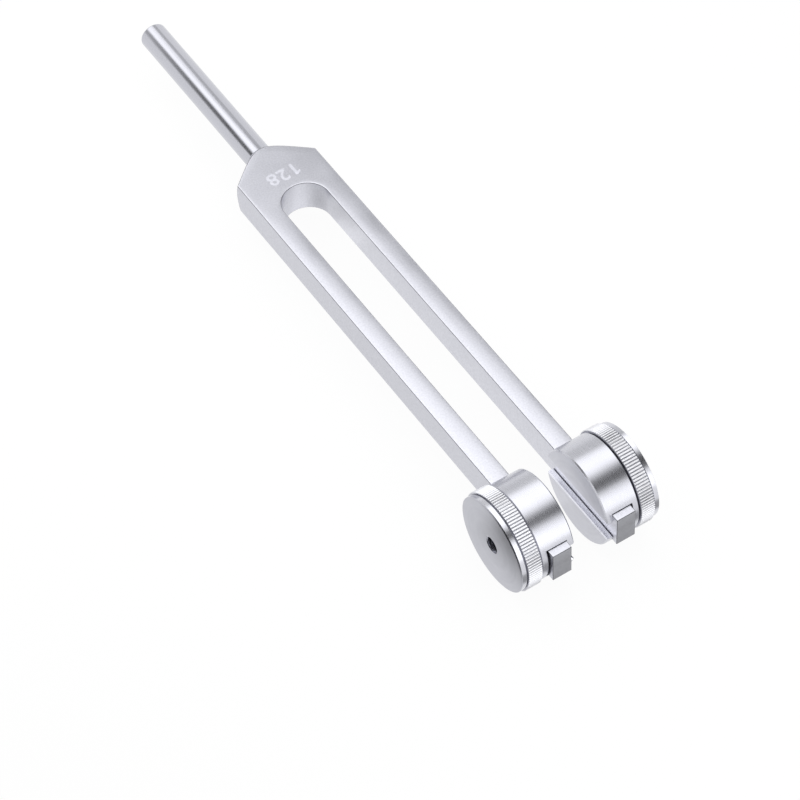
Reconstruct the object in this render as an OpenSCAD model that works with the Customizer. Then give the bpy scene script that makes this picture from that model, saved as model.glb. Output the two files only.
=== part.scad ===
// Weighted tuning fork: a flat fork on a round stem, with a slotted weight clamped on each tine.
// A knurled knob on each weight turns a stud that presses on the tine and holds the weight in place.
// Lengths are in millimetres. X runs across the tines, Y from the tine tips to the stem, and Z is up.
// The origin lies under the middle of the fork, level with its lowest point.

/* [Fork] */
// Overall width across both tines
fork_w = 24; // [20:0.1:32]
// Thickness of the bar that the fork is cut from
fork_t = 9.6; // [7.5:0.1:12]
// Width of one tine
tine_w = 5.4; // [4:0.1:6.5]
// Length of the straight tines, from their tips to the start of the bend
tine_l = 129.8; // [90:0.1:180]
// Length of the yoke, from the start of the bend to the shoulder of the stem
yoke_l = 24; // [20:0.1:40]
// Angle between the stem's axis and the cone turned on the yoke's end
cone_angle = 45; // [30:1:60]

/* [Stem] */
// Diameter of the stem
stem_d = 7.7; // [6.5:0.1:9]
// Length of the stem outside the yoke
stem_l = 57.2; // [30:0.1:90]
// Chamfer around the foot of the stem
stem_chamfer = 0.6; // [0.2:0.1:1.5]
// Diameter of the spigot that holds the stem in the yoke
spigot_d = 5.5; // [4:0.1:6.2]
// Length of the spigot
spigot_l = 9; // [5:0.1:11]

/* [Weight drums] */
// Distance from the tine tips to the axis of the weights
weight_setback = 14; // [6:0.5:110]
// Diameter of a drum
drum_d = 25.8; // [20:0.1:32]
// Thickness of the two lips that hook behind the tine
lip_t = 1.8; // [1:0.1:2.5]
// Thickness of the drum's outer wall, which the stud is screwed through
drum_wall = 1.7; // [1.2:0.1:4]
// Width of the slit between the two lips
slit_w = 6.3; // [3:0.1:7]
// Chamfer around both rims of a drum
drum_chamfer = 0.3; // [0.1:0.05:0.6]

/* [Clamp knobs] */
// Diameter of a knob over the tips of its knurl
knurl_d = 26.8; // [21:0.1:34]
// Width of the knurled band and the narrow groove beside it
knurl_w = 4.3; // [2:0.1:8]
// Depth of the knurl's grooves
knurl_depth = 0.45; // [0.2:0.05:0.6]
// Number of knurl teeth
knurl_teeth = 104; // [60:4:120]
// Width of the smooth band outside the knurl
land_w = 1.4; // [1:0.1:4]
// Diameter of the smooth band
land_d = 25.8; // [20:0.1:34]
// Width of the narrow groove between the knurl and the smooth band
groove_w = 0.35; // [0.2:0.05:0.6]
// Depth of the narrow groove
groove_depth = 0.35; // [0.2:0.05:0.6]
// Chamfer around both rims of the smooth band
knob_chamfer = 0.35; // [0.1:0.05:0.8]

/* [Clamp studs] */
// Thread diameter of a stud
thread_d = 5; // [4:0.5:6]
// Thread pitch of a stud
thread_pitch = 0.8; // [0.5:0.05:1]
// How far a stud is seated in its knob
stud_seat = 2.5; // [1.5:0.1:3.5]
// Chamfer at both ends of a stud
stud_chamfer = 0.5; // [0.2:0.1:1]

/* [Clearances] */
// Free room above and below the tine in the drum's slot
slot_clear_z = 0.3; // [0.1:0.05:0.6]
// Free room outside the tine in the drum's slot, when the stud is tight
slot_clear_x = 0.5; // [0.2:0.05:1]
// Gap left at the faces that the tine slides on
slide_clear = 0.03; // [0.02:0.01:0.1]
// Gap between the drum and the knob, when the stud is tight
knob_gap = 0.2; // [0.1:0.05:1]
// Radial clearance of the stud in the drum's thread
thread_clear = 0.05; // [0.02:0.01:0.1]
// Clearance of the stud in the knob's seat
seat_clear = 0.03; // [0.02:0.01:0.1]
// Clearance of the spigot in the yoke
spigot_clear = 0.02; // [0.01:0.01:0.1]

/* [Hidden] */
$fn = 96;
// How far a cut runs past the face it opens
over = 1;
// Sides of the mirrored pieces
left = -1;
right = 1;

// Places along the fork
total_l = tine_l + yoke_l + stem_l;
tip_y = -total_l / 2;
bend_y = tip_y + tine_l;
shoulder_y = bend_y + yoke_l;
weight_y = tip_y + weight_setback;
axis_z = max(drum_d, knurl_d, land_d) / 2;

// Places across the fork
tine_out = fork_w / 2;
tine_in = tine_out - tine_w;
gap_w = 2 * tine_in;

// Drum, measured outwards from the middle of the fork
lip_x = tine_in - slide_clear;
drum_x = lip_x - lip_t;
slot_x = tine_out + slot_clear_x;
drum_out = slot_x + drum_wall;
slot_h = fork_t + 2 * slot_clear_z;

// Knob and stud, measured the same way
knob_x = drum_out + knob_gap;
knob_w = knurl_w + land_w;
root_d = knurl_d - 2 * knurl_depth;
groove_d = min(root_d, land_d) - 2 * groove_depth;
stud_x = tine_out + slide_clear;
stud_end = knob_x + stud_seat;
tapped_d = thread_d - thread_pitch;

// Turns a shape made along Z to lie along Y, pointing at the stem
module along_y() {
    rotate([-90, 0, 0])
        children();
}

// Turns a shape made along Z to lie along X, pointing to the right
module along_x() {
    rotate([0, 90, 0])
        children();
}

// Puts a piece of the right weight on its axis, or mirrors it to the left tine
module on_tine(side) {
    translate([0, weight_y, axis_z])
        mirror([side == left ? 1 : 0, 0, 0])
            children();
}

// Disc along X with both rims chamfered
module turned_disc(d, w, chamfer) {
    along_x()
        rotate_extrude()
            polygon([
                [0, 0],
                [d / 2 - chamfer, 0],
                [d / 2, chamfer],
                [d / 2, w - chamfer],
                [d / 2 - chamfer, w],
                [0, w]
            ]);
}

// Outline of the fork seen from above, with the yoke's end left square
module fork_outline() {
    difference() {
        translate([-fork_w / 2, tip_y])
            square([fork_w, tine_l + yoke_l]);
        translate([-gap_w / 2, tip_y - over])
            square([gap_w, tine_l + over]);
        translate([0, bend_y])
            circle(d = gap_w);
    }
}

// Lathe envelope of the fork: wide along the tines, and a cone down to the stem's shoulder
module turned_envelope() {
    reach = fork_w;
    cone_l = (reach - stem_d / 2) / tan(cone_angle);
    along_y()
        rotate_extrude()
            polygon([
                [0, 0],
                [stem_d / 2, 0],
                [reach, -cone_l],
                [reach, -cone_l - tine_l - yoke_l],
                [0, -cone_l - tine_l - yoke_l]
            ]);
}

module fork_body() {
    color("silver")
        difference() {
            intersection() {
                translate([0, 0, axis_z - fork_t / 2])
                    linear_extrude(fork_t)
                        fork_outline();
                translate([0, shoulder_y, axis_z])
                    turned_envelope();
            }
            translate([0, shoulder_y - spigot_l - spigot_clear, axis_z])
                along_y()
                    cylinder(h = spigot_l + spigot_clear + over, d = spigot_d + 2 * spigot_clear);
        }
}

module stem() {
    color("gainsboro")
        translate([0, shoulder_y, axis_z])
            along_y() {
                translate([0, 0, -spigot_l])
                    cylinder(h = spigot_l, d = spigot_d);
                cylinder(h = stem_l - stem_chamfer, d = stem_d);
                translate([0, 0, stem_l - stem_chamfer])
                    cylinder(h = stem_chamfer, d1 = stem_d, d2 = stem_d - 2 * stem_chamfer);
            }
}

// Drum of the right weight: the tine runs through its slot, and the slit opens the slot inwards
module weight_drum(side) {
    color("lightgray")
        on_tine(side)
            difference() {
                translate([drum_x, 0, 0])
                    turned_disc(drum_d, drum_out - drum_x, drum_chamfer);
                translate([lip_x, -drum_d, -slot_h / 2])
                    cube([slot_x - lip_x, 2 * drum_d, slot_h]);
                translate([drum_x - over, -drum_d, -slit_w / 2])
                    cube([lip_t + 2 * over, 2 * drum_d, slit_w]);
                translate([slot_x - over, 0, 0])
                    along_x()
                        cylinder(h = drum_wall + 2 * over, d = thread_d + 2 * thread_clear);
            }
}

// Straight knurl: pointed teeth around a disc
module knurled_band() {
    along_x()
        linear_extrude(knurl_w - groove_w)
            polygon([
                for (step = [0 : 2 * knurl_teeth - 1])
                    let (
                        r = step % 2 == 0 ? knurl_d / 2 : root_d / 2,
                        a = 180 * step / knurl_teeth
                    )
                    [r * cos(a), r * sin(a)]
            ]);
}

// Knob of the right weight: knurled band, narrow groove, smooth band, seat for the stud and tapped hole
module clamp_knob(side) {
    color("gainsboro")
        on_tine(side)
            translate([knob_x, 0, 0])
                difference() {
                    union() {
                        knurled_band();
                        along_x()
                            cylinder(h = knurl_w, d = groove_d);
                        translate([knurl_w, 0, 0])
                            turned_disc(land_d, land_w, knob_chamfer);
                    }
                    translate([-over, 0, 0])
                        along_x()
                            cylinder(h = stud_seat + seat_clear + over, d = thread_d + 2 * seat_clear);
                    along_x()
                        cylinder(h = knob_w + over, d = tapped_d);
                }
}

// Stud of the right weight: seated in the knob, with its tip on the tine
module clamp_stud(side) {
    color("dimgray")
        on_tine(side)
            translate([stud_x, 0, 0])
                turned_disc(thread_d, stud_end - stud_x, stud_chamfer);
}

module left_weight_drum() {
    weight_drum(left);
}

module right_weight_drum() {
    weight_drum(right);
}

module left_clamp_knob() {
    clamp_knob(left);
}

module right_clamp_knob() {
    clamp_knob(right);
}

module left_clamp_stud() {
    clamp_stud(left);
}

module right_clamp_stud() {
    clamp_stud(right);
}

fork_body();
stem();
left_weight_drum();
right_weight_drum();
left_clamp_knob();
right_clamp_knob();
left_clamp_stud();
right_clamp_stud();
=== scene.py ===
from math import atan2, ceil, copysign, hypot, pi, radians, sqrt, tan

import bmesh
import bpy
from mathutils import Matrix, Vector


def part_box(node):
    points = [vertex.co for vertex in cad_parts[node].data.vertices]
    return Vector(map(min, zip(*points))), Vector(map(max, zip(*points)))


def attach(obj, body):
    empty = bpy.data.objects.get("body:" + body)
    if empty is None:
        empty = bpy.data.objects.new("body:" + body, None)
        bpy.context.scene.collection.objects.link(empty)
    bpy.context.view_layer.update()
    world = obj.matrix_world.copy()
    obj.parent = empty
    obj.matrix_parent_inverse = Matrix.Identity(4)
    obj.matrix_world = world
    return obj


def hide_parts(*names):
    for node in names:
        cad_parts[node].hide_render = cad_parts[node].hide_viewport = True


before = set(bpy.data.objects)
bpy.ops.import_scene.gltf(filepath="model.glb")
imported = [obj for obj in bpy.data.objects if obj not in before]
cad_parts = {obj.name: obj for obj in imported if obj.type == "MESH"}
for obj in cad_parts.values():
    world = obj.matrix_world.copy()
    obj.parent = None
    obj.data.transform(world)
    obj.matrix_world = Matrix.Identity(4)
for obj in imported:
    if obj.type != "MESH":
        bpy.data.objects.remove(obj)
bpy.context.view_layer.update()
print("frame loaded:", len(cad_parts), "nodes")

# Pieces are modelled in millimetres and brought to metres when they are finished
mm = 0.001
weld = 0.002  # points nearer than this are one point
planeHit = weld / 10  # points nearer than this to a cutting plane lie in it
squareTo = 0.99  # share of a normal along an axis, where a face stands square to it
facing = 0.8  # the same, where a face only looks that way
sharpAngle = 38  # edges that turn by more than this many degrees are shaded sharp


def boxOf(node):
    low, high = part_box(node)
    return low / mm, high / mm


forkLow, forkHigh = boxOf("fork_body")
stemLow, stemHigh = boxOf("stem")
drumLow, drumHigh = boxOf("right_weight_drum")
knobLow, knobHigh = boxOf("right_clamp_knob")
studLow, studHigh = boxOf("right_clamp_stud")
tipY, shoulderY = forkLow.y, forkHigh.y
axisZ = (forkLow.z + forkHigh.z) / 2
weightY = (drumLow.y + drumHigh.y) / 2
stemAxis = Vector((0, 1, 0))
clampAxis = Vector((1, 0, 0))
upward = Vector((0, 0, 1))
shoulderCentre = Vector((0, shoulderY, axisZ))
clampCentre = Vector((0, weightY, axisZ))


# Camera

photoView = {
    "target": Vector((0, tipY, axisZ)),
    "azimuth": -30.041,
    "elevation": 51.546,
    "roll": -3.742,
    "offset": Vector((-46.36, 34.741, 707.077)),  # right, up and back from the target
    "lens": 133.39,
    "sensor": 36,
    "clip": (0.01, 20),  # nearest and farthest sight in metres
}


def makeCamera():
    turn = (
        Matrix.Rotation(radians(photoView["azimuth"]), 4, "Z")
        @ Matrix.Rotation(radians(90 - photoView["elevation"]), 4, "X")
        @ Matrix.Rotation(radians(photoView["roll"]), 4, "Z")
    )
    place = photoView["target"] + turn.to_3x3() @ photoView["offset"]
    data = bpy.data.cameras.new("photoCamera")
    data.lens = photoView["lens"]
    data.sensor_width = photoView["sensor"]
    data.clip_start, data.clip_end = photoView["clip"]
    camera = bpy.data.objects.new("photoCamera", data)
    camera.matrix_world = Matrix.Translation(place * mm) @ turn
    bpy.context.scene.collection.objects.link(camera)
    bpy.context.scene.camera = camera


makeCamera()
print("camera placed")


# Shared effects, as node groups

def newGroup(name, inputs, outputs):
    group = bpy.data.node_groups.new(name, "ShaderNodeTree")
    for socket, kind, value in inputs:
        made = group.interface.new_socket(name=socket, in_out="INPUT", socket_type=kind)
        if value is not None:
            made.default_value = value
    for socket, kind in outputs:
        group.interface.new_socket(name=socket, in_out="OUTPUT", socket_type=kind)
    return group, group.nodes.new("NodeGroupInput"), group.nodes.new("NodeGroupOutput")


def addNode(tree, kind, **settings):
    node = tree.nodes.new(kind)
    for key, value in settings.items():
        setattr(node, key, value)
    return node


def feed(tree, value, socket):
    # a plain number, or the output of another node
    if isinstance(value, (int, float)):
        socket.default_value = value
    else:
        tree.links.new(value, socket)


def workOut(tree, operation, first, second):
    node = addNode(tree, "ShaderNodeMath", operation=operation)
    feed(tree, first, node.inputs[0])
    feed(tree, second, node.inputs[1])
    return node.outputs[0]


def noise(tree, vector, scale, detail=2.0, roughness=0.5):
    node = addNode(tree, "ShaderNodeTexNoise")
    node.inputs["Detail"].default_value = detail
    node.inputs["Roughness"].default_value = roughness
    tree.links.new(vector, node.inputs["Vector"])
    tree.links.new(scale, node.inputs["Scale"])
    return node.outputs["Fac"]


def lineNoise(tree, measure, scale, detail):
    node = addNode(tree, "ShaderNodeTexNoise", noise_dimensions="1D")
    node.inputs["Detail"].default_value = detail
    tree.links.new(measure, node.inputs["W"])
    tree.links.new(scale, node.inputs["Scale"])
    return node.outputs["Fac"]


noiseRange = (0.3, 0.7)  # where most of a noise's values lie


def spread(tree, value, low, high):
    # a noise value, taken to a range of its own
    node = addNode(tree, "ShaderNodeMapRange")
    node.inputs["From Min"].default_value, node.inputs["From Max"].default_value = noiseRange
    tree.links.new(value, node.inputs["Value"])
    feed(tree, low, node.inputs["To Min"])
    feed(tree, high, node.inputs["To Max"])
    return node.outputs["Result"]


def makeSatinGroup():
    # fine pits of a blasted or ground skin, and a tone of broad soft clouds with some grain in them
    group, given, put = newGroup(
        "satinSkin",
        [("Vector", "NodeSocketVector", None), ("Pits", "NodeSocketFloat", 5200.0),
         ("Clouds", "NodeSocketFloat", 90.0), ("Grain", "NodeSocketFloat", 2200.0),
         ("Grain Share", "NodeSocketFloat", 0.0), ("Rough Low", "NodeSocketFloat", 0.3),
         ("Rough High", "NodeSocketFloat", 0.4)],
        [("Height", "NodeSocketFloat"), ("Roughness", "NodeSocketFloat"), ("Tone", "NodeSocketFloat")],
    )
    pits = noise(group, given.outputs["Vector"], given.outputs["Pits"], 3.0, 0.6)
    clouds = noise(group, given.outputs["Vector"], given.outputs["Clouds"], 3.0, 0.55)
    rough = spread(group, clouds, given.outputs["Rough Low"], given.outputs["Rough High"])
    grain = noise(group, given.outputs["Vector"], given.outputs["Grain"])
    tone = addNode(group, "ShaderNodeMix", data_type="FLOAT")
    group.links.new(given.outputs["Grain Share"], tone.inputs["Factor"])
    group.links.new(clouds, tone.inputs["A"])
    group.links.new(grain, tone.inputs["B"])
    group.links.new(pits, put.inputs["Height"])
    group.links.new(rough, put.inputs["Roughness"])
    group.links.new(tone.outputs["Result"], put.inputs["Tone"])
    return group


bandShare = 0.11  # broad bands of roughness to one tool line


def makeToolLinesGroup():
    # tool lines across one measure: a distance along a bar, or out from an axis
    group, given, put = newGroup(
        "toolLines",
        [("Measure", "NodeSocketFloat", 0.0), ("Lines", "NodeSocketFloat", 9000.0),
         ("Rough Low", "NodeSocketFloat", 0.2), ("Rough High", "NodeSocketFloat", 0.3)],
        [("Height", "NodeSocketFloat"), ("Roughness", "NodeSocketFloat")],
    )
    fine = lineNoise(group, given.outputs["Measure"], given.outputs["Lines"], 2.0)
    bands = workOut(group, "MULTIPLY", given.outputs["Lines"], bandShare)
    broad = lineNoise(group, given.outputs["Measure"], bands, 3.0)
    rough = spread(group, broad, given.outputs["Rough Low"], given.outputs["Rough High"])
    group.links.new(fine, put.inputs["Height"])
    group.links.new(rough, put.inputs["Roughness"])
    return group


satinSkin = makeSatinGroup()
toolLines = makeToolLinesGroup()


def useGroup(tree, group, **values):
    node = addNode(tree, "ShaderNodeGroup", node_tree=group)
    for socket in node.inputs:
        key = socket.name[0].lower() + socket.name[1:].replace(" ", "")
        if key in values:
            socket.default_value = values[key]
    return node


# Finishes

metals = {
    # darkest and lightest grey, and the depth of pits and lines in millimetres
    "blastedFork": {"dark": (0.552, 0.557, 0.609), "light": (0.662, 0.667, 0.721), "depth": 0.006},
    # painted shade: the broken edges are coloured far darker than the metal
    "brokenEdge": {"dark": (0.11, 0.112, 0.121), "light": (0.15, 0.152, 0.164)},
    "sawnEnd": {"dark": (0.48, 0.485, 0.515), "light": (0.52, 0.525, 0.56), "depth": 0.02},
    "polishedStem": {"dark": (0.553, 0.558, 0.607), "light": (0.573, 0.578, 0.629), "depth": 0.0012},
    "etchedNumber": {"dark": (0.67, 0.675, 0.73), "light": (0.77, 0.775, 0.83), "depth": 0.01},
}
turnedMetal = {
    "lines": 7000.0,  # tool lines in a metre
    "clouds": 220.0,
    "grey": 0.607,
    "drift": 0.012,  # how far the grey goes up and down
    "cast": (0, 0.005, 0.055),  # added to red, green and blue, for a cool tint
}


def newFinish(name):
    finish = bpy.data.materials.new(name)
    finish.use_nodes = True
    return finish, finish.node_tree


def newMetal(name):
    finish, tree = newFinish(name)
    shader = tree.nodes["Principled BSDF"]
    shader.inputs["Metallic"].default_value = 1.0
    place = addNode(tree, "ShaderNodeTexCoord")
    return finish, tree, shader, place.outputs["Object"]


def addTone(tree, shader, value, dark, light):
    # colour drifts gently between two close greys
    mix = addNode(tree, "ShaderNodeMix", data_type="RGBA")
    mix.inputs["A"].default_value = (*dark, 1)
    mix.inputs["B"].default_value = (*light, 1)
    tree.links.new(spread(tree, value, 0.0, 1.0), mix.inputs["Factor"])
    tree.links.new(mix.outputs["Result"], shader.inputs["Base Color"])


def addBump(tree, shader, height, depth):
    bump = addNode(tree, "ShaderNodeBump")
    bump.inputs["Strength"].default_value = 1.0
    bump.inputs["Distance"].default_value = depth * mm
    tree.links.new(height, bump.inputs["Height"])
    tree.links.new(bump.outputs["Normal"], shader.inputs["Normal"])


def fromClampAxis(tree, place):
    # distance out from the axis of the weights
    centred = addNode(tree, "ShaderNodeMapping")
    centred.inputs["Location"].default_value = -clampCentre * mm
    tree.links.new(place, centred.inputs["Vector"])
    flat = addNode(tree, "ShaderNodeVectorMath", operation="MULTIPLY")
    flat.inputs[1].default_value = (0, 1, 1)
    tree.links.new(centred.outputs["Vector"], flat.inputs[0])
    length = addNode(tree, "ShaderNodeVectorMath", operation="LENGTH")
    tree.links.new(flat.outputs["Vector"], length.inputs[0])
    return length.outputs["Value"]


def alongAxis(tree, place, name):
    split = addNode(tree, "ShaderNodeSeparateXYZ")
    tree.links.new(place, split.inputs[0])
    return split.outputs[name]


def blastedFinish():
    metal = metals["blastedFork"]
    finish, tree, shader, place = newMetal("blastedFork")
    skin = useGroup(tree, satinSkin, pits=4800.0, clouds=70.0, grainShare=0.75,
                    roughLow=0.3, roughHigh=0.37)
    tree.links.new(place, skin.inputs["Vector"])
    ground = useGroup(tree, toolLines, lines=2600.0)  # faint grinding lines across the bar
    tree.links.new(alongAxis(tree, place, "Y"), ground.inputs["Measure"])
    addTone(tree, shader, skin.outputs["Tone"], metal["dark"], metal["light"])
    tree.links.new(skin.outputs["Roughness"], shader.inputs["Roughness"])
    height = workOut(tree, "ADD", skin.outputs["Height"], ground.outputs["Height"])
    addBump(tree, shader, height, metal["depth"])
    return finish


def paintedDarkEdgeFinish():
    # painted shade: a fine dark line, far darker than the metal, along the broken edges of the bar
    metal = metals["brokenEdge"]
    finish, tree, shader, place = newMetal("brokenEdge")
    skin = useGroup(tree, satinSkin, pits=3000.0, clouds=160.0, roughLow=0.3, roughHigh=0.4)
    tree.links.new(place, skin.inputs["Vector"])
    addTone(tree, shader, skin.outputs["Tone"], metal["dark"], metal["light"])
    tree.links.new(skin.outputs["Roughness"], shader.inputs["Roughness"])
    return finish


def sawnEndFinish():
    metal = metals["sawnEnd"]
    finish, tree, shader, place = newMetal("sawnEnd")
    lines = useGroup(tree, toolLines, lines=3500.0, roughLow=0.42, roughHigh=0.55)
    tree.links.new(alongAxis(tree, place, "Z"), lines.inputs["Measure"])
    skin = useGroup(tree, satinSkin, pits=4200.0, clouds=900.0)
    tree.links.new(place, skin.inputs["Vector"])
    addTone(tree, shader, skin.outputs["Tone"], metal["dark"], metal["light"])
    tree.links.new(lines.outputs["Roughness"], shader.inputs["Roughness"])
    height = workOut(tree, "ADD", lines.outputs["Height"], skin.outputs["Height"])
    addBump(tree, shader, height, metal["depth"])
    return finish


def polishedStemFinish():
    metal = metals["polishedStem"]
    finish, tree, shader, place = newMetal("polishedStem")
    drawn = addNode(tree, "ShaderNodeMapping")
    drawn.inputs["Scale"].default_value = (1, 0.02, 1)  # polishing lines run along the rod
    tree.links.new(place, drawn.inputs["Vector"])
    skin = useGroup(tree, satinSkin, pits=3600.0, clouds=900.0, roughLow=0.17, roughHigh=0.22)
    tree.links.new(drawn.outputs["Vector"], skin.inputs["Vector"])
    addTone(tree, shader, skin.outputs["Tone"], metal["dark"], metal["light"])
    tree.links.new(skin.outputs["Roughness"], shader.inputs["Roughness"])
    addBump(tree, shader, skin.outputs["Height"], metal["depth"])
    return finish


def coolGrey(level):
    return [level + cast for cast in turnedMetal["cast"]]


def turnedFinish(name, measure, rough, depth=0, grey=turnedMetal["grey"]):
    # lathe work: lines round the axis, seen along it on a wall or out from it on a face
    finish, tree, shader, place = newMetal(name)
    cut = useGroup(tree, toolLines, lines=turnedMetal["lines"], roughLow=rough[0], roughHigh=rough[1])
    distance = fromClampAxis(tree, place) if measure == "radius" else alongAxis(tree, place, "X")
    tree.links.new(distance, cut.inputs["Measure"])
    skin = useGroup(tree, satinSkin, clouds=turnedMetal["clouds"])
    tree.links.new(place, skin.inputs["Vector"])
    dark, light = coolGrey(grey - turnedMetal["drift"]), coolGrey(grey + turnedMetal["drift"])
    addTone(tree, shader, skin.outputs["Tone"], dark, light)
    tree.links.new(cut.outputs["Roughness"], shader.inputs["Roughness"])
    if depth:
        addBump(tree, shader, cut.outputs["Height"], depth)
    return finish


def etchedFinish():
    metal = metals["etchedNumber"]
    finish, tree, shader, place = newMetal("etchedNumber")
    skin = useGroup(tree, satinSkin, pits=6000.0, clouds=500.0, roughLow=0.55, roughHigh=0.7)
    tree.links.new(place, skin.inputs["Vector"])
    addTone(tree, shader, skin.outputs["Tone"], metal["dark"], metal["light"])
    tree.links.new(skin.outputs["Roughness"], shader.inputs["Roughness"])
    addBump(tree, shader, skin.outputs["Height"], metal["depth"])
    return finish


blastedFork = blastedFinish()
brokenEdge = paintedDarkEdgeFinish()
sawnEnd = sawnEndFinish()
polishedStem = polishedStemFinish()
drumWall = turnedFinish("drumWall", "along", rough=(0.268, 0.28))
drumFace = turnedFinish("drumFace", "radius", rough=(0.3, 0.38), depth=0.003, grey=0.58)
# painted light: the slit's walls are a far lighter grey than the drum, to light up the slit
slitWall = turnedFinish("slitWall", "along", rough=(0.16, 0.2), grey=0.93)
knobLand = turnedFinish("knobLand", "along", rough=(0.22, 0.24), grey=0.66)
# painted shade: the groove is a darker grey than the land beside it
knobGroove = turnedFinish("knobGroove", "along", rough=(0.35, 0.45), depth=0.002, grey=0.4)
knobFace = turnedFinish("knobFace", "radius", rough=(0.3, 0.37), depth=0.003, grey=0.53)
# painted shade: the tapped hole's thread and countersink are a darker grey than the knob
holeThread = turnedFinish("holeThread", "along", rough=(0.25, 0.35), depth=0.002, grey=0.42)
studSteel = turnedFinish("studSteel", "along", rough=(0.25, 0.35), depth=0.002, grey=0.4)
etchedNumber = etchedFinish()
print("finishes made:", len(bpy.data.materials))


# Mesh helpers

def drawProfile(bm, profile, centre, axis):
    # a line through (along, radius) points, drawn above an axis
    verts = [bm.verts.new(centre + axis * along + upward * radius) for along, radius in profile]
    edges = [bm.edges.new(pair) for pair in zip(verts, verts[1:])]
    return verts + edges


def lathe(bm, profile, centre, axis, steps):
    # turns a profile right round an axis
    line = drawProfile(bm, profile, centre, axis)
    bmesh.ops.spin(bm, geom=line, cent=centre, axis=axis, angle=2 * pi, steps=steps, use_merge=True)
    bmesh.ops.remove_doubles(bm, verts=bm.verts, dist=weld)


def cutAt(bm, point, normal, clear=False):
    geom = bm.verts[:] + bm.edges[:] + bm.faces[:]
    bmesh.ops.bisect_plane(
        bm, geom=geom, dist=planeHit, plane_co=point, plane_no=normal, clear_outer=clear,
    )


def edgesIn(bm, axis, value, openOnly=True):
    # edges that lie in the plane where one coordinate has that value
    found = [e for e in bm.edges if all(abs(v.co[axis] - value) < weld for v in e.verts)]
    if openOnly:
        found = [e for e in found if e.is_boundary or e.is_wire]
    return found


def joinAlong(bm, x, z):
    # an edge along Y, between the first and the last point that stand at this x and z
    here = [v for v in bm.verts if hypot(v.co.x - x, v.co.z - z) < weld]
    first = min(here, key=lambda v: v.co.y)
    last = max(here, key=lambda v: v.co.y)
    bm.edges.new((first, last))


def fromAxis(co):
    return hypot(co.y - weightY, co.z - axisZ)


def roundEdges(bm, edges, width, steps):
    made = bmesh.ops.bevel(
        bm, geom=edges, offset=width, offset_type="OFFSET", affect="EDGES", segments=steps,
        profile=0.5, material=-1, loop_slide=True, clamp_overlap=False,
    )
    return made["faces"]


def sharpEdges(bm, angle=25):
    return [e for e in bm.edges if e.is_manifold and e.calc_face_angle(0) > radians(angle)]


def finishPiece(bm, name, finishes, body, node=None, sharp=sharpAngle):
    bmesh.ops.remove_doubles(bm, verts=bm.verts, dist=weld)
    bmesh.ops.recalc_face_normals(bm, faces=bm.faces)
    bmesh.ops.scale(bm, verts=bm.verts, vec=(mm, mm, mm))
    mesh = bpy.data.meshes.new(name)
    bm.to_mesh(mesh)
    bm.free()
    for finish in finishes:
        mesh.materials.append(finish)
    mesh.shade_smooth()
    mesh.set_sharp_from_angle(angle=radians(sharp))
    piece = bpy.data.objects.new(name, mesh)
    bpy.context.scene.collection.objects.link(piece)
    flat = piece.modifiers.new("flatFaces", "WEIGHTED_NORMAL")  # broad faces stay flat
    flat.keep_sharp = True
    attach(piece, body)
    if node:
        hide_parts(node)
    print("piece made:", name, len(mesh.polygons), "faces")
    return piece


# Fork body

forkBar = {
    "tineWidth": 5.4,
    "yokeLength": 24.0,  # start of the bend to the stem's shoulder
    "coneAngle": 45,
    "coneReach": 1.3,  # the cone is turned this much wider than the bar, then trimmed to it
    "spigotHole": 2.77,
    "spigotDepth": 9.02,
    "rollOff": 0.16,  # how far the flat faces fall away at their edges
    "rollSteps": (0.3, 0.3, 0.5, 0.5, 0.45, 0.4),
    "fineRollOff": 0.065,
    "fineRollReach": 0.6,
    "tipFade": (-100.0, -94.0),  # where along Y the fine roll of the tips turns into the tines' broad one
    "rollFade": (12.0, 36.0),  # where it turns back into a fine one, for the yoke
    "rollReturn": (38.0, 42.0),  # where it broadens again, along the rim of the cone
    "fadeCuts": 8,
    "edgeRound": 0.11,
    "edgeSteps": 2,
    "coneSteps": 96,
    "bendSteps": 48,
}


def rollFace(bm, faceZ):
    # each ring in from the edge climbs less than the last, up to the full thickness
    level = [f for f in bm.faces if abs(f.calc_center_median().z - faceZ) < weld]
    face = max(level, key=lambda f: f.calc_area())
    reach = sum(forkBar["rollSteps"])
    inward = 0
    for step in forkBar["rollSteps"]:
        fallHere = forkBar["rollOff"] * (1 - inward / reach) ** 2
        inward += step
        fallNext = forkBar["rollOff"] * (1 - inward / reach) ** 2
        bmesh.ops.inset_region(
            bm, faces=[face], thickness=step, depth=fallHere - fallNext,
            use_boundary=True, use_even_offset=True,
        )


def smoothStep(value, low, high):
    share = min(max((value - low) / (high - low), 0), 1)
    return share * share * (3 - 2 * share)


def narrowRoll(bm):
    # the tines' broad roll narrows to a fine line along the edges of the yoke and the tips
    cuts = forkBar["fadeCuts"]
    reach = sum(forkBar["rollSteps"])
    halfFull = (forkHigh.z - forkLow.z) / 2
    for start, end in (forkBar["tipFade"], forkBar["rollFade"]):
        for cut in range(cuts + 1):
            cutAt(bm, (0, start + (end - start) * cut / cuts, 0), (0, 1, 0))
    for vert in bm.verts:
        height = vert.co.z - axisZ
        fall = max(halfFull - abs(height), 0)
        if fall > forkBar["rollOff"] + weld:
            continue
        inward = reach * (1 - sqrt(fall / forkBar["rollOff"]))
        fineFall = forkBar["fineRollOff"] * max(1 - inward / forkBar["fineRollReach"], 0) ** 2
        broadAgain = smoothStep(vert.co.y, *forkBar["rollReturn"])
        share = 1 - smoothStep(vert.co.y, *forkBar["tipFade"])
        share += smoothStep(vert.co.y, *forkBar["rollFade"]) - broadAgain
        vert.co.z += copysign((fall - fineFall) * share, height)


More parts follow.
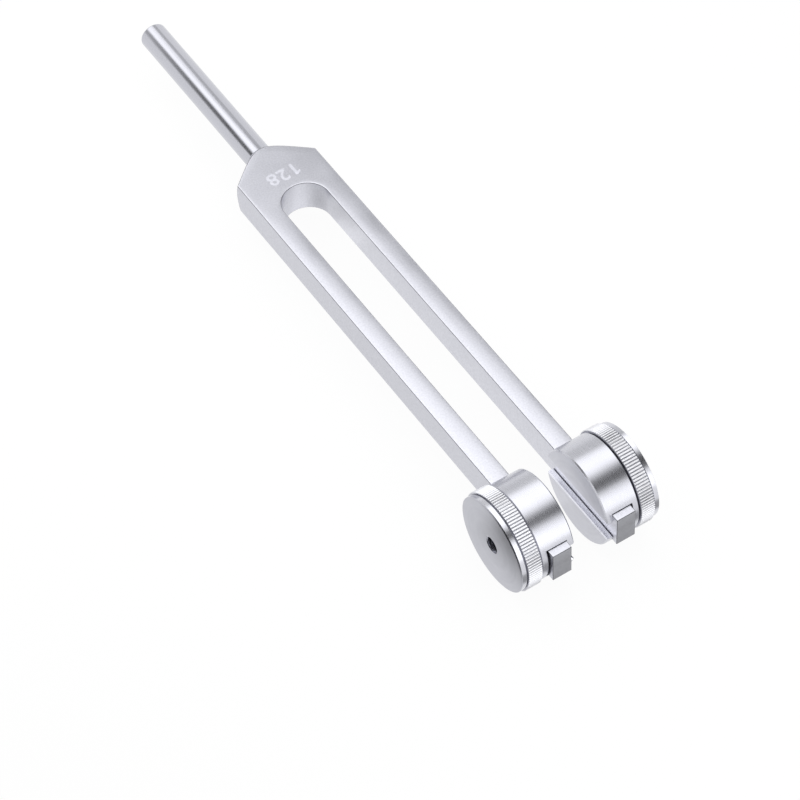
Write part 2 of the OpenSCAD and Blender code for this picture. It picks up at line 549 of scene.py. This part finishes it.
def makeForkBar():
    halfWidth = forkHigh.x
    halfThick = (forkHigh.z - forkLow.z) / 2 - forkBar["rollOff"]
    topZ, bottomZ = axisZ + halfThick, axisZ - halfThick
    bendY = shoulderY - forkBar["yokeLength"]
    tineIn = halfWidth - forkBar["tineWidth"]
    reach = forkBar["coneReach"] * halfWidth
    coneBack = (reach - stemHigh.x) / tan(radians(forkBar["coneAngle"]))
    bm = bmesh.new()

    # yoke's end: spigot hole, shoulder and cone, trimmed to the bar
    lathe(bm, [(-forkBar["spigotDepth"], 0), (-forkBar["spigotDepth"], forkBar["spigotHole"]),
               (0, forkBar["spigotHole"]), (0, stemHigh.x), (-coneBack, reach)],
          shoulderCentre, stemAxis, forkBar["coneSteps"])
    for side in (-1, 1):
        cutAt(bm, (side * halfWidth, 0, 0), (side, 0, 0), clear=True)
        cutAt(bm, (0, 0, axisZ + side * halfThick), (0, 0, side), clear=True)

    # inside of the bend, run on to the tips and across them
    ends = [bm.verts.new((tineIn, bendY, z)) for z in (bottomZ, topZ)]
    upright = bm.edges.new(ends)
    made = bmesh.ops.spin(bm, geom=ends + [upright], cent=(0, bendY, axisZ), axis=(0, 0, 1), angle=pi,
                          steps=forkBar["bendSteps"])
    lastEdge = [g for g in made["geom_last"] if isinstance(g, bmesh.types.BMEdge)][0]
    for edge, side in ((upright, 1), (lastEdge, -1)):
        for move in ((0, tipY - bendY, 0), (side * forkBar["tineWidth"], 0, 0)):
            grown = bmesh.ops.extrude_edge_only(bm, edges=[edge])["geom"]
            moved = [g for g in grown if isinstance(g, bmesh.types.BMVert)]
            bmesh.ops.translate(bm, vec=move, verts=moved)
            edge = [g for g in grown if isinstance(g, bmesh.types.BMEdge) and g.is_boundary and
                    abs(g.verts[0].co.z - g.verts[1].co.z) > halfThick][0]

    # outer sides, then the two broad faces
    for side in (-1, 1):
        for z in (bottomZ, topZ):
            joinAlong(bm, side * halfWidth, z)
        bmesh.ops.edgeloop_fill(bm, edges=edgesIn(bm, 0, side * halfWidth))
    for z in (bottomZ, topZ):
        bmesh.ops.edgeloop_fill(bm, edges=edgesIn(bm, 2, z))
    bmesh.ops.recalc_face_normals(bm, faces=bm.faces)
    rollFace(bm, topZ)
    rollFace(bm, bottomZ)
    narrowRoll(bm)

    keep = stemHigh.x + weld  # the shoulder and the spigot hole stay sharp
    rims = [e for e in sharpEdges(bm)
            if any(hypot(v.co.x, v.co.z - axisZ) > keep or v.co.y < bendY for v in e.verts)]
    for face in roundEdges(bm, rims, forkBar["edgeRound"], forkBar["edgeSteps"]):
        face.material_index = 1  # broken edge, painted as a dark line of shade
    for face in bm.faces:
        if face.normal.y < -squareTo and face.calc_center_median().y < tipY + weld:
            face.material_index = 2  # sawn end
    forkFinishes = [blastedFork, brokenEdge, sawnEnd]
    return finishPiece(bm, "forkBar", forkFinishes, "fork", "fork_body")


makeForkBar()


# Stem

stemRod = {"spigot": 2.75, "footRound": 0.5, "footSteps": 4, "steps": 96}


def makeStem():
    bm = bmesh.new()
    back, foot = stemLow.y - shoulderY, stemHigh.y - shoulderY
    radius = stemHigh.x
    spigot = stemRod["spigot"]
    profile = [(back, 0), (back, spigot), (0, spigot), (0, radius), (foot, radius), (foot, 0)]
    lathe(bm, profile, shoulderCentre, stemAxis, stemRod["steps"])
    rim = [e for e in edgesIn(bm, 1, stemHigh.y, openOnly=False)
           if all(hypot(v.co.x, v.co.z - axisZ) > radius - weld for v in e.verts)]
    roundEdges(bm, rim, stemRod["footRound"], stemRod["footSteps"])
    return finishPiece(bm, "stemRod", [polishedStem], "fork", "stem")


makeStem()


# Weights: drum, knob and stud are made for the right tine, and turned half round for the left one

bodyOf = {"weight_drum": "weight", "clamp_knob": "knob", "clamp_stud": "stud"}
halfTurn = Matrix.Rotation(pi, 3, "Z")


def onBothTines(build, name, finishes, part, sharp=sharpAngle):
    for side in ("right", "left"):
        bm = build()
        if side == "left":
            bmesh.ops.rotate(bm, cent=clampCentre, matrix=halfTurn, verts=bm.verts)
        finishPiece(bm, side + name, finishes, f"{side}_{bodyOf[part]}", f"{side}_{part}", sharp)


drum = {
    "lip": 1.8,
    "wall": 1.7,
    "slotHalf": 5.1,
    "slitHalf": 3.15,
    "studHole": 2.55,
    "lipSlope": (0.35, 0.11),  # width and fall of the strip along the front of each lip
    "lipBack": 0.2,  # chamfer along the back of each lip
    "rimChamfer": 0.3,
    "wallSkin": 0.5,  # what lies deeper than this has the flat faces' finish
    "flatWithin": 0.5,  # degrees that flat faces may differ by, to be one face
    "steps": 128,
    "sharp": 15,
}


def buildDrum():
    inner, outer = drumLow.x, drumHigh.x
    radius = drumHigh.z - axisZ
    lipX, backX = inner + drum["lip"], outer - drum["wall"]
    slot, slit = drum["slotHalf"], drum["slitHalf"]
    bm = bmesh.new()
    hole = drum["studHole"]
    profile = [(inner, 0), (inner, radius), (outer, radius), (outer, hole), (backX, hole)]
    lathe(bm, profile, clampCentre, clampAxis, drum["steps"])

    # mark out the slot and its slit, then take their mouths away
    for x in (lipX, backX):
        cutAt(bm, (x, 0, 0), (1, 0, 0))
    for z in (-slot, -slit, slit, slot):
        cutAt(bm, (0, 0, axisZ + z), (0, 0, 1))
    mouths = []
    for face in bm.faces:
        middle = face.calc_center_median()
        high = abs(middle.z - axisZ)
        inSlit = middle.x < lipX and high < slit
        inSlot = lipX < middle.x < backX and high < slot and fromAxis(middle) > slot
        if inSlit or inSlot:
            mouths.append(face)
    bmesh.ops.delete(bm, geom=mouths, context="FACES")
    bmesh.ops.dissolve_limit(bm, angle_limit=radians(drum["flatWithin"]), verts=bm.verts,
                             edges=[e for e in bm.edges if e.is_manifold])

    # edges through the drum from mouth to mouth, and the walls between them
    for side in (1, -1):
        for x, z in ((lipX, slit), (lipX, slot), (backX, slot)):
            joinAlong(bm, x, axisZ + side * z)
    for z in (-slit, slit, -slot, slot):
        bmesh.ops.edgeloop_fill(bm, edges=edgesIn(bm, 2, axisZ + z))
    for side in (-1, 1):
        lipEdges = [e for e in edgesIn(bm, 0, lipX)
                    if all((v.co.z - axisZ) * side > 0 for v in e.verts)]
        bmesh.ops.edgeloop_fill(bm, edges=lipEdges)
    bmesh.ops.triangle_fill(bm, edges=edgesIn(bm, 0, backX), use_beauty=True, normal=(-1, 0, 0))
    bmesh.ops.recalc_face_normals(bm, faces=bm.faces)

    # edges broken: a strip along the front of each lip, its back edge, and both rims
    slopeWidth, slopeFall = drum["lipSlope"]
    cutAt(bm, (inner + slopeWidth, 0, 0), (1, 0, 0))
    for vert in bm.verts:
        high = vert.co.z - axisZ
        if abs(vert.co.x - inner) < weld and abs(abs(high) - slit) < weld:
            vert.co.z += copysign(slopeFall, high)
    backs = [e for z in (-slit, slit) for e in edgesIn(bm, 2, axisZ + z, openOnly=False)
             if all(abs(v.co.x - lipX) < weld for v in e.verts)]
    roundEdges(bm, backs, drum["lipBack"], 1)
    rims = [e for x in (inner, outer) for e in edgesIn(bm, 0, x, openOnly=False)
            if fromAxis((e.verts[0].co + e.verts[1].co) / 2) > radius - drum["rimChamfer"] / 2]
    roundEdges(bm, rims, drum["rimChamfer"], 1)
    for face in bm.faces:
        middle = face.calc_center_median()
        if abs(face.normal.z) > squareTo and middle.x < lipX and abs(middle.z - axisZ) < slot:
            face.material_index = 2  # slit wall, painted lighter as light inside the slit
        elif abs(face.normal.x) > facing or fromAxis(middle) < radius - drum["wallSkin"]:
            face.material_index = 1  # flat face
    return bm


drumFinishes = [drumWall, drumFace, slitWall]
onBothTines(buildDrum, "Drum", drumFinishes, "weight_drum", drum["sharp"])


# Threads, for the knobs' tapped holes and the studs

clampThread = {
    "pitch": 0.8,
    "major": 2.5,
    "minor": 2.1,
    "flat": 0.12,  # share of the pitch that a crest is flat
    "steps": 52,  # round one turn
    "runOut": 2,  # turns past each end, before it is trimmed
}


def threadSkin(bm, startX, endX):
    # one pitch of the thread's outline, carried along a helix and trimmed square at both ends
    pitch, major, minor = clampThread["pitch"], clampThread["major"], clampThread["minor"]
    flat, runOut = clampThread["flat"], clampThread["runOut"]
    outline = [(0, major), (0.5 - flat, minor), (0.5 + flat, minor), (1 - flat, major), (1, major)]
    first = startX - runOut * pitch
    profile = [(first + share * pitch, radius) for share, radius in outline]
    line = drawProfile(bm, profile, clampCentre, clampAxis)
    turns = ceil((endX - startX) / pitch) + 2 * runOut
    steps = clampThread["steps"]
    bmesh.ops.spin(
        bm, geom=line, cent=clampCentre, axis=clampAxis, dvec=clampAxis * (pitch / steps),
        angle=2 * pi * turns, steps=steps * turns,
    )
    bmesh.ops.remove_doubles(bm, verts=bm.verts, dist=weld)
    cutAt(bm, (startX, 0, 0), (-1, 0, 0), clear=True)
    cutAt(bm, (endX, 0, 0), (1, 0, 0), clear=True)


def turnTo(vert, radius):
    share = radius / fromAxis(vert.co)
    vert.co.y = weightY + (vert.co.y - weightY) * share
    vert.co.z = axisZ + (vert.co.z - axisZ) * share


knob = {
    "teeth": 104,
    "toothShape": (13.4, 13.36, 13.2, 13.08, 13.2, 13.36),  # radii from a crest to a root and back
    "knurlWidth": 3.95,
    "innerEnd": 0.1,  # width of the sloping ends of the teeth
    "outerEnd": 0.05,
    "endRadius": 13.0,
    "groove": 0.22,
    "grooveRadius": 12.6,
    "landRadius": 12.9,
    "landEdge": 0.12,
    "rimSlope": (0.24, 0.45),  # width and fall of the sloping outer rim
    "seatRadius": 2.53,
    "seatDepth": 2.53,
    "sink": 2.3,  # radius of the countersink's rim
    "hubRing": 3.6,
    # painted shade in the roots and painted highlight on the crests of the knurl
    "rootTone": (0.50, 0.505, 0.54),
    "crestTone": (0.90, 0.905, 0.94),
    "lineDepth": 0.001,
    "sharp": 40,
}


def knurlFinish():
    # painted highlight on the crests and painted shade down in the roots: the grey follows the distance
    # from the axis
    finish, tree, shader, place = newMetal("knurlMetal")
    cut = useGroup(tree, toolLines, lines=turnedMetal["lines"], roughLow=0.34, roughHigh=0.42)
    tree.links.new(alongAxis(tree, place, "X"), cut.inputs["Measure"])
    height = addNode(tree, "ShaderNodeMapRange")
    height.inputs["From Min"].default_value = min(knob["toothShape"]) * mm
    height.inputs["From Max"].default_value = max(knob["toothShape"]) * mm
    tree.links.new(fromClampAxis(tree, place), height.inputs["Value"])
    mix = addNode(tree, "ShaderNodeMix", data_type="RGBA")
    mix.inputs["A"].default_value = (*knob["rootTone"], 1)
    mix.inputs["B"].default_value = (*knob["crestTone"], 1)
    tree.links.new(height.outputs["Result"], mix.inputs["Factor"])
    tree.links.new(mix.outputs["Result"], shader.inputs["Base Color"])
    tree.links.new(cut.outputs["Roughness"], shader.inputs["Roughness"])
    addBump(tree, shader, cut.outputs["Height"], knob["lineDepth"])
    return finish


def cutTeeth(bm, places):
    # every ring at these places gets the tooth's radii in turn
    stepAngle = 2 * pi / (knob["teeth"] * len(knob["toothShape"]))
    for vert in bm.verts:
        if fromAxis(vert.co) > knob["grooveRadius"] and any(abs(vert.co.x - x) < weld for x in places):
            step = round(atan2(vert.co.y - weightY, vert.co.z - axisZ) / stepAngle)
            turnTo(vert, knob["toothShape"][step % len(knob["toothShape"])])


def buildKnob():
    inner, outer = knobLow.x, knobHigh.x
    seatX = inner + knob["seatDepth"]
    knurlOut = inner + knob["knurlWidth"]
    landX = knurlOut + knob["groove"]
    toothFrom, toothTo = inner + knob["innerEnd"], knurlOut - knob["outerEnd"]
    crest, endRadius = knob["toothShape"][0], knob["endRadius"]
    landRadius, landEdge = knob["landRadius"], knob["landEdge"]
    slopeWidth, slopeFall = knob["rimSlope"]
    bm = bmesh.new()
    threadSkin(bm, seatX, outer)
    for vert in bm.verts:
        turnTo(vert, max(fromAxis(vert.co), knob["sink"] - (outer - vert.co.x)))
    profile = [
        (seatX, knob["seatRadius"]), (inner, knob["seatRadius"]), (inner, endRadius),
        (toothFrom, crest), (toothTo, crest), (knurlOut, endRadius),
        (knurlOut, knob["grooveRadius"]), (landX, knob["grooveRadius"]),
        (landX, landRadius - landEdge), (landX + landEdge, landRadius),
        (outer - slopeWidth, landRadius), (outer, landRadius - slopeFall), (outer, knob["hubRing"]),
    ]
    lathe(bm, profile, clampCentre, clampAxis, knob["teeth"] * len(knob["toothShape"]))
    for x, way in ((seatX, -1), (outer, 1)):
        bmesh.ops.triangle_fill(bm, edges=edgesIn(bm, 0, x), use_beauty=True, normal=(way, 0, 0))
    cutTeeth(bm, (toothFrom, toothTo))
    bmesh.ops.recalc_face_normals(bm, faces=bm.faces)
    for face in bm.faces:
        middle = face.calc_center_median()
        if fromAxis(middle) < knob["sink"]:
            face.material_index = 3  # thread, painted darker as shade in the hole
        elif knurlOut - weld < middle.x < landX and fromAxis(middle) < endRadius:
            face.material_index = 4  # groove, painted darker as shade
        elif face.normal.x > facing or middle.x < inner + weld:
            face.material_index = 2  # flat face
        elif middle.x > knurlOut:
            face.material_index = 1  # smooth band
    return bm


knobFinishes = [knurlFinish(), knobLand, knobFace, holeThread, knobGroove]
onBothTines(buildKnob, "Knob", knobFinishes, "clamp_knob", knob["sharp"])


stud = {"tip": 1.9}  # radius at the chamfered ends


def buildStud():
    bm = bmesh.new()
    threadSkin(bm, studLow.x, studHigh.x)
    for vert in bm.verts:
        fromEnd = min(vert.co.x - studLow.x, studHigh.x - vert.co.x)
        turnTo(vert, min(fromAxis(vert.co), stud["tip"] + fromEnd))
    bmesh.ops.holes_fill(bm, edges=[e for e in bm.edges if e.is_boundary], sides=0)
    return bm


onBothTines(buildStud, "Stud", [studSteel], "clamp_stud")


# Pitch in hertz, etched on the yoke

pitchNumber = {
    "text": "128",
    "size": 5.9,
    "bolder": 0.1,
    "pitch": 3.26,  # from one figure to the next
    "centre": (0.03, 36.0),
    "turn": 180,  # read with the stem towards the reader
    "raise": 0.01,
    "one": [  # corners of the figure 1
        (-0.4, -2.15), (0.4, -2.15), (0.4, 2.15), (-0.15, 2.15),
        (-1.35, 1.55), (-1.35, 0.8), (-0.4, 1.25),
    ],
}


def drawFigure(bm, figure, shift):
    words = bpy.data.curves.new("figure", "FONT")
    words.body = figure
    words.size = pitchNumber["size"]
    words.offset = pitchNumber["bolder"]
    words.align_x = "CENTER"
    words.align_y = "CENTER"
    words.extrude = pitchNumber["raise"]
    writer = bpy.data.objects.new("figureWriter", words)
    bpy.context.scene.collection.objects.link(writer)
    bpy.context.view_layer.update()
    mesh = bpy.data.meshes.new_from_object(writer)
    bpy.data.objects.remove(writer)
    bpy.data.curves.remove(words)
    mesh.transform(Matrix.Translation((shift, 0, 0)))
    bm.from_mesh(mesh)
    bpy.data.meshes.remove(mesh)


def drawOne(bm, shift):
    # an upright with a slanting flag, cut to the same thickness as the other figures
    corners = [bm.verts.new((x + shift, y, -pitchNumber["raise"])) for x, y in pitchNumber["one"]]
    face = bm.faces.new(corners)
    top = bmesh.ops.extrude_face_region(bm, geom=[face])["geom"]
    lifted = [g for g in top if isinstance(g, bmesh.types.BMVert)]
    bmesh.ops.translate(bm, verts=lifted, vec=(0, 0, 2 * pitchNumber["raise"]))


def makeNumber():
    bm = bmesh.new()
    middle = (len(pitchNumber["text"]) - 1) / 2
    for index, figure in enumerate(pitchNumber["text"]):
        shift = (index - middle) * pitchNumber["pitch"]
        if figure == "1":
            drawOne(bm, shift)
        else:
            drawFigure(bm, figure, shift)
    turn = Matrix.Rotation(radians(pitchNumber["turn"]), 3, "Z")
    bmesh.ops.rotate(bm, verts=bm.verts, cent=(0, 0, 0), matrix=turn)
    bmesh.ops.translate(bm, verts=bm.verts, vec=(*pitchNumber["centre"], forkHigh.z))
    return finishPiece(bm, "pitchNumber", [etchedNumber], "fork")


makeNumber()


# Studio: white surroundings, a pale floor, soft lights, and cards that the metal reflects

studio = {
    "floorSize": 6.0,
    "floorWhite": 0.93,  # share of the floor that is plain white to the eye
    "floorColour": (0.9, 0.9, 0.9),
    "floorRough": 0.9,
    "fill": 0.8,
    "lampFrom": 1.5,  # panels brighter than this light everything, and the others show in the metal alone
    "globeGlow": 0.03,
    "globeSegments": (48, 24),
}
panels = [
    # name, centre, half sizes and width of the soft edge in metres, turn about Z, tilt, brightness
    ("overheadBox", (-0.015, 0.061, 0.203), (0.246, 0.163), 0.085, -55.8, 0, 1.73),
    ("stemBox", (-0.015, 0.300, 0.2045), (0.115, 0.080), 0.060, 0, 0, 1.62),
    ("ceilingCard", (0.033, -0.013, 0.233), (0.696, 0.245), 0.048, -27.9, 0, 0.06),
    ("sideCard", (0.310, 0.728, 0.263), (0.084, 0.680), 0.030, -18.5, 0, 0.66),
    ("nearSideCard", (0.120, 0.159, 0.262), (0.084, 0.100), 0.030, -18.5, 0, 0.4),
    ("frontBox", (0.226, -0.773, 0.189), (0.620, 0.372), 0.052, -58.0, 83.7, 1.94),
    ("greyCard", (0.030, -0.115, 0.0008), (0.110, 0.0075), 0.002, 0, 0, 0.38),
    ("shadeCard", (-0.0405, -0.090, 0.0008), (0.018, 0.018), 0.012, 0, 0, 0.25),
    ("bendShade", (-0.005, 0.028, 0.0009), (0.005, 0.0065), 0.003, 0, 0, 0.62),
    ("bendLight", (0.0025, 0.0225, 0.0010), (0.0045, 0.0065), 0.003, 0, 0, 1.24),
    ("gapCard", (0, -0.030, 0.0008), (0.008, 0.055), 0.003, 0, 0, 1.06),
]
darkGlobes = [
    # centre and radius in metres
    ((-0.042, -0.0925, 0.013), 0.0128),
    ((-0.040, -0.106, 0.011), 0.010),
]


def stageObject(bm, name, finish):
    mesh = bpy.data.meshes.new(name)
    bm.to_mesh(mesh)
    bm.free()
    mesh.materials.append(finish)
    thing = bpy.data.objects.new(name, mesh)
    bpy.context.scene.collection.objects.link(thing)
    return thing


def softGlow(name, half, fade, strength):
    # even light that fades out towards the panel's edges
    finish, tree = newFinish(name)
    tree.nodes.clear()
    place = addNode(tree, "ShaderNodeTexCoord")
    inside = addNode(tree, "ShaderNodeMath", operation="MULTIPLY")
    for index, axis in enumerate("XY"):
        far = addNode(tree, "ShaderNodeMath", operation="ABSOLUTE")
        tree.links.new(alongAxis(tree, place.outputs["Object"], axis), far.inputs[0])
        edge = addNode(tree, "ShaderNodeMapRange", interpolation_type="SMOOTHSTEP")
        edge.inputs["From Min"].default_value = half[index]
        edge.inputs["From Max"].default_value = half[index] - fade
        tree.links.new(far.outputs[0], edge.inputs["Value"])
        tree.links.new(edge.outputs["Result"], inside.inputs[index])
    glow = addNode(tree, "ShaderNodeEmission")
    glow.inputs["Strength"].default_value = strength
    mix = addNode(tree, "ShaderNodeMixShader")
    tree.links.new(inside.outputs[0], mix.inputs[0])
    tree.links.new(addNode(tree, "ShaderNodeBsdfTransparent").outputs[0], mix.inputs[1])
    tree.links.new(glow.outputs[0], mix.inputs[2])
    put = addNode(tree, "ShaderNodeOutputMaterial")
    tree.links.new(mix.outputs[0], put.inputs["Surface"])
    return finish


def makePanel(name, centre, half, fade, turn, tilt, strength):
    bm = bmesh.new()
    bmesh.ops.create_grid(bm, x_segments=1, y_segments=1, size=1)
    bmesh.ops.scale(bm, vec=(half[0], half[1], 1), verts=bm.verts)
    panel = stageObject(bm, name, softGlow(name, half, fade, strength))
    panel.matrix_world = (
        Matrix.Translation(centre)
        @ Matrix.Rotation(radians(turn), 4, "Z")
        @ Matrix.Rotation(radians(tilt), 4, "X")
    )
    panel.visible_camera = False
    panel.visible_shadow = False
    panel.visible_diffuse = strength > studio["lampFrom"]


def makeDarkGlobe(centre, radius):
    # a dark reflector beside the left weight
    bm = bmesh.new()
    around, upDown = studio["globeSegments"]
    bmesh.ops.create_uvsphere(bm, u_segments=around, v_segments=upDown, radius=radius)
    finish, tree = newFinish("darkGlobe")
    glow = addNode(tree, "ShaderNodeEmission")
    glow.inputs["Strength"].default_value = studio["globeGlow"]
    tree.links.new(glow.outputs[0], tree.nodes["Material Output"].inputs["Surface"])
    globe = stageObject(bm, "darkGlobe", finish)
    globe.data.shade_smooth()
    globe.location = centre
    globe.visible_camera = False
    globe.visible_shadow = False
    globe.visible_diffuse = False


def whiteToTheEye(tree):
    # 1 for rays from the camera, and for those that metal or glass sends on
    path = addNode(tree, "ShaderNodeLightPath")
    seen = path.outputs["Is Camera Ray"]
    for name in ("Is Glossy Ray", "Is Transmission Ray"):
        seen = workOut(tree, "MAXIMUM", seen, path.outputs[name])
    return seen


def makeFloor():
    bm = bmesh.new()
    bmesh.ops.create_grid(bm, x_segments=1, y_segments=1, size=studio["floorSize"])
    finish, tree = newFinish("paleFloor")
    shader = tree.nodes["Principled BSDF"]
    shader.inputs["Base Color"].default_value = (*studio["floorColour"], 1)
    shader.inputs["Roughness"].default_value = studio["floorRough"]
    shader.inputs["Specular IOR Level"].default_value = 0.0
    glow = addNode(tree, "ShaderNodeEmission")
    share = workOut(tree, "MULTIPLY", whiteToTheEye(tree), studio["floorWhite"])
    mix = addNode(tree, "ShaderNodeMixShader")
    tree.links.new(share, mix.inputs[0])
    tree.links.new(shader.outputs[0], mix.inputs[1])
    tree.links.new(glow.outputs[0], mix.inputs[2])
    tree.links.new(mix.outputs[0], tree.nodes["Material Output"].inputs["Surface"])
    stageObject(bm, "floor", finish)


def makeWorld():
    world = bpy.data.worlds.new("whiteRoom")
    bpy.context.scene.world = world
    world.use_nodes = True
    tree = world.node_tree
    sky = tree.nodes["Background"]
    sky.inputs["Color"].default_value = (1, 1, 1, 1)
    strength = addNode(tree, "ShaderNodeMapRange")
    strength.inputs["To Min"].default_value = studio["fill"]
    strength.inputs["To Max"].default_value = 1.0
    tree.links.new(whiteToTheEye(tree), strength.inputs["Value"])
    tree.links.new(strength.outputs["Result"], sky.inputs["Strength"])


makeFloor()
makeWorld()
for panel in panels:
    makePanel(*panel)
for globe in darkGlobes:
    makeDarkGlobe(*globe)
bpy.context.scene.view_settings.view_transform = "Standard"
print("studio lit")
